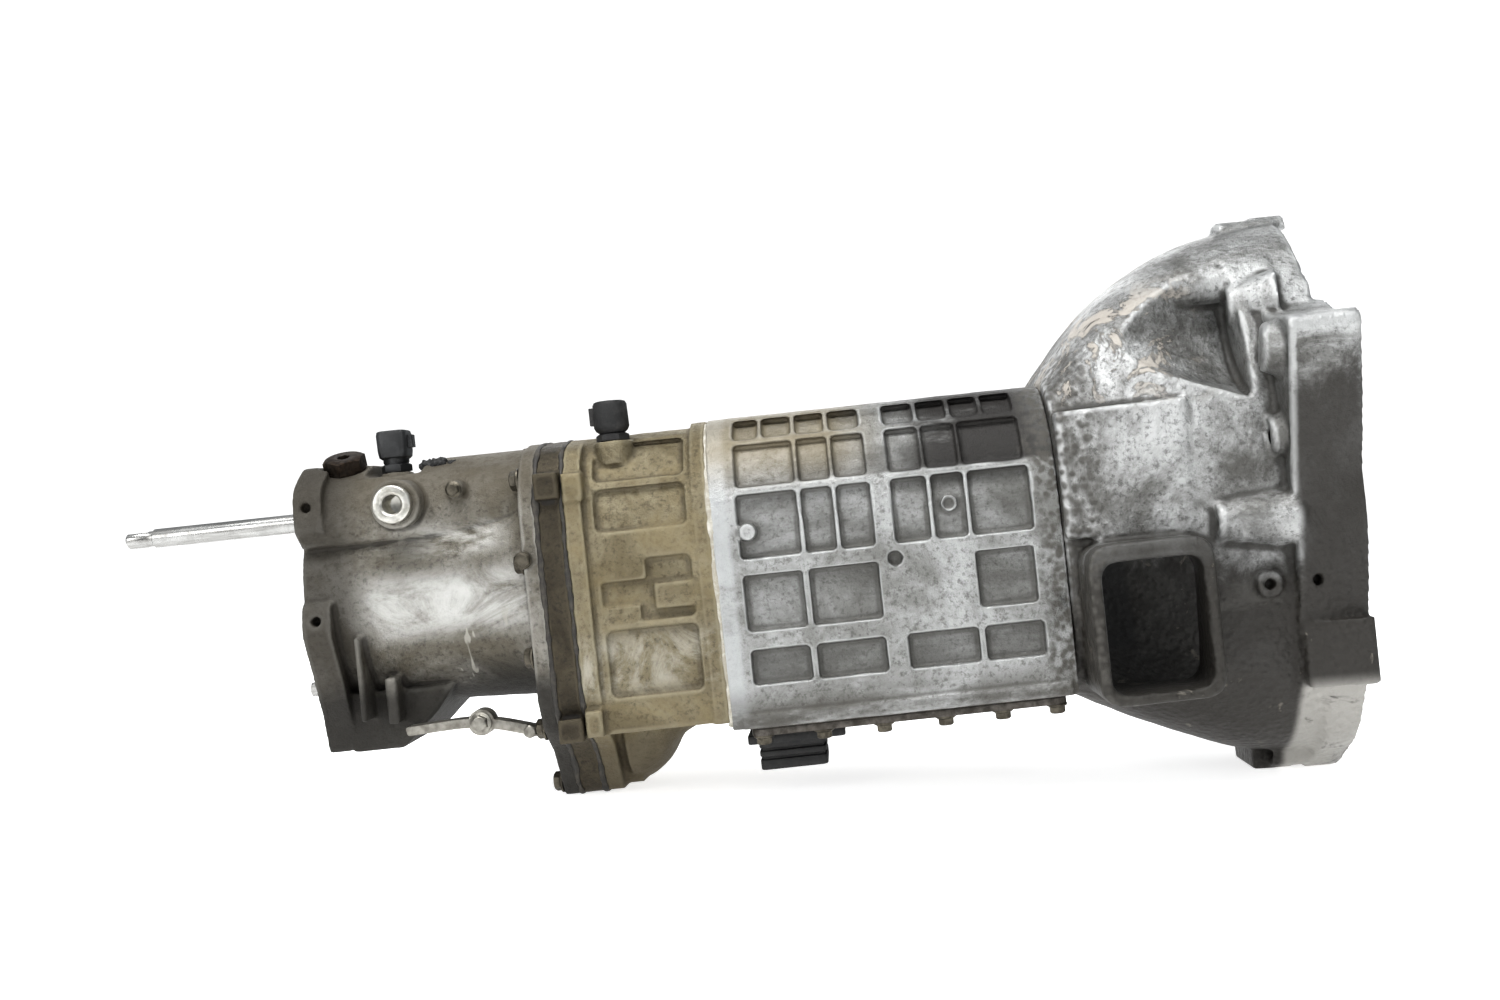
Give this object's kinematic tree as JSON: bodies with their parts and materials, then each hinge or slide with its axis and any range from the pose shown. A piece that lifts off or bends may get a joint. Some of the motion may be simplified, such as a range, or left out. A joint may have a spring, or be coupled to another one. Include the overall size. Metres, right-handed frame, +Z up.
{
  "type": "manual transmission",
  "caption": "Longitudinal manual gearbox: bell housing, ribbed gear case, bearing plate and extension around turning shafts, gears, sleeves, shift rails and a selector rod.",
  "frame": {"origin": "end of the input shaft nose, on the shaft axis and level with the engine face of the clutch housing", "axes": "+X along the shafts towards the engine, +Z up, -Y the side with the release fork window"},
  "size_m": [0.862, 0.3091, 0.4018],
  "materials": {
    "cast_bell": "mottled, oil-stained sand casting",
    "cast_case": "worn bright sand casting",
    "cast_middle": "brown-stained sand casting",
    "cast_plate": "dark oily casting",
    "cast_tail": "grey-brown stained casting",
    "retainer": "machined casting",
    "cover": "oily pressed steel",
    "gasket": "matte",
    "support": "matte, dirty",
    "seal": "satin",
    "connector": "matte, dusty",
    "rusty_plug": "rusty",
    "zinc": "zinc plated",
    "bright_steel": "ground",
    "dark_steel": "dull, oily",
    "gear_steel": "machined, oily",
    "bearing_steel": "ground",
    "brass": "machined",
    "fork": "as cast, oily"
  },
  "bodies": {
    "housing": {"clutch_housing": "cast_bell", "main_case": "cast_case", "intermediate_housing": "cast_middle", "bearing_plate": "cast_plate", "extension_housing": "cast_tail", "under_cover": "cover", "under_cover_gasket": "gasket", "support_block": "support", "lower_bracket": "zinc", "front_bearing_retainer": "retainer", "input_oil_seal": "seal", "output_oil_seal": "seal", "interlock_plug": "rusty_plug", "port_bush": "zinc", "neutral_switch": "connector", "reverse_lamp_switch": "connector", "tail_dowel_pin": "bright_steel", "drain_plug": "dark_steel", "filler_plug": "dark_steel", "breather": "zinc", "release_fork_pivot": "bright_steel", "input_bearing": "bearing_steel", "main_centre_bearing": "bearing_steel", "main_rear_bearing": "bearing_steel", "countershaft_front_bearing": "bearing_steel", "countershaft_centre_bearing": "bearing_steel", "countershaft_rear_bearing": "bearing_steel", "reverse_idler_shaft": "bright_steel"},
    "input_shaft": {"input_shaft": "bright_steel"},
    "countershaft": {"countershaft": "gear_steel", "countershaft_fifth_gear": "gear_steel", "countershaft_reverse_gear": "gear_steel"},
    "mainshaft": {"mainshaft": "bright_steel", "hub_third_fourth": "gear_steel", "hub_first_second": "gear_steel", "hub_fifth_reverse": "gear_steel", "blocker_ring_fourth": "brass", "blocker_ring_third": "brass", "blocker_ring_second": "brass", "blocker_ring_first": "brass", "blocker_ring_fifth": "brass"},
    "third_gear": {"third_gear": "gear_steel"},
    "second_gear": {"second_gear": "gear_steel"},
    "first_gear": {"first_gear": "gear_steel"},
    "fifth_gear": {"fifth_gear": "gear_steel"},
    "reverse_gear": {"reverse_gear": "gear_steel"},
    "reverse_idler": {"reverse_idler_gear": "gear_steel"},
    "sleeve_third_fourth": {"sleeve_third_fourth": "gear_steel"},
    "sleeve_first_second": {"sleeve_first_second": "gear_steel"},
    "sleeve_fifth_reverse": {"sleeve_fifth_reverse": "gear_steel"},
    "rail_third_fourth": {"rail_third_fourth": "bright_steel", "fork_third_fourth": "fork"},
    "rail_first_second": {"rail_first_second": "bright_steel", "fork_first_second": "fork"},
    "rail_fifth_reverse": {"rail_fifth_reverse": "bright_steel", "fork_fifth_reverse": "fork"},
    "interlock": {"interlock_sleeve": "bright_steel"},
    "control_rod": {"control_rod": "bright_steel", "selector_finger": "bright_steel"}
  },
  "joints": [
    {"name": "countershaft_spin", "type": "hinge", "parent": "housing", "child": "countershaft", "pos_m": [0, 0, -0.066], "axis": [1, 0, 0], "continuous": true},
    {"name": "input_shaft_spin", "type": "hinge", "parent": "housing", "child": "input_shaft", "pos_m": [0, 0, 0], "axis": [1, 0, 0], "continuous": true},
    {"name": "third_gear_spin", "type": "hinge", "parent": "housing", "child": "third_gear", "pos_m": [0, 0, 0], "axis": [1, 0, 0], "continuous": true},
    {"name": "second_gear_spin", "type": "hinge", "parent": "housing", "child": "second_gear", "pos_m": [0, 0, 0], "axis": [1, 0, 0], "continuous": true},
    {"name": "first_gear_spin", "type": "hinge", "parent": "housing", "child": "first_gear", "pos_m": [0, 0, 0], "axis": [1, 0, 0], "continuous": true},
    {"name": "fifth_gear_spin", "type": "hinge", "parent": "housing", "child": "fifth_gear", "pos_m": [0, 0, 0], "axis": [1, 0, 0], "continuous": true},
    {"name": "reverse_idler_spin", "type": "hinge", "parent": "housing", "child": "reverse_idler", "pos_m": [0, 0.03384, -0.04882], "axis": [1, 0, 0], "continuous": true},
    {"name": "reverse_gear_spin", "type": "hinge", "parent": "housing", "child": "reverse_gear", "pos_m": [0, 0, 0], "axis": [1, 0, 0], "continuous": true},
    {"name": "mainshaft_spin", "type": "hinge", "parent": "housing", "child": "mainshaft", "pos_m": [0, 0, 0], "axis": [1, 0, 0], "continuous": true},
    {"name": "rail_third_fourth_slide", "type": "slide", "parent": "housing", "child": "rail_third_fourth", "axis": [1, 0, 0], "range_m": [-0.009, 0.009]},
    {"name": "sleeve_third_fourth_slide", "type": "slide", "parent": "mainshaft", "child": "sleeve_third_fourth", "axis": [1, 0, 0], "range_m": [-0.009, 0.009]},
    {"name": "rail_first_second_slide", "type": "slide", "parent": "housing", "child": "rail_first_second", "axis": [1, 0, 0], "range_m": [-0.009, 0.009]},
    {"name": "sleeve_first_second_slide", "type": "slide", "parent": "mainshaft", "child": "sleeve_first_second", "axis": [1, 0, 0], "range_m": [-0.009, 0.009]},
    {"name": "rail_fifth_reverse_slide", "type": "slide", "parent": "housing", "child": "rail_fifth_reverse", "axis": [1, 0, 0], "range_m": [-0.008, 0.008]},
    {"name": "sleeve_fifth_reverse_slide", "type": "slide", "parent": "mainshaft", "child": "sleeve_fifth_reverse", "axis": [1, 0, 0], "range_m": [-0.008, 0.008]},
    {"name": "selector_turn", "type": "hinge", "parent": "housing", "child": "interlock", "pos_m": [-0.6, 0, 0.054], "axis": [1, 0, 0], "range_deg": [-14, 14]},
    {"name": "selector_slide", "type": "slide", "parent": "interlock", "child": "control_rod", "axis": [1, 0, 0], "range_m": [-0.008, 0.008]}
  ],
  "couplings": [
    {"joint": "input_shaft_spin", "follows": "countershaft_spin", "ratio": -1.5},
    {"joint": "third_gear_spin", "follows": "countershaft_spin", "ratio": -1.1053},
    {"joint": "second_gear_spin", "follows": "countershaft_spin", "ratio": -0.66667},
    {"joint": "first_gear_spin", "follows": "countershaft_spin", "ratio": -0.42857},
    {"joint": "fifth_gear_spin", "follows": "countershaft_spin", "ratio": -1.8571},
    {"joint": "reverse_idler_spin", "follows": "countershaft_spin", "ratio": -0.91667},
    {"joint": "reverse_gear_spin", "follows": "countershaft_spin", "ratio": 0.45833},
    {"joint": "sleeve_third_fourth_slide", "follows": "rail_third_fourth_slide", "ratio": 1},
    {"joint": "sleeve_first_second_slide", "follows": "rail_first_second_slide", "ratio": 1},
    {"joint": "sleeve_fifth_reverse_slide", "follows": "rail_fifth_reverse_slide", "ratio": 1}
  ]
}
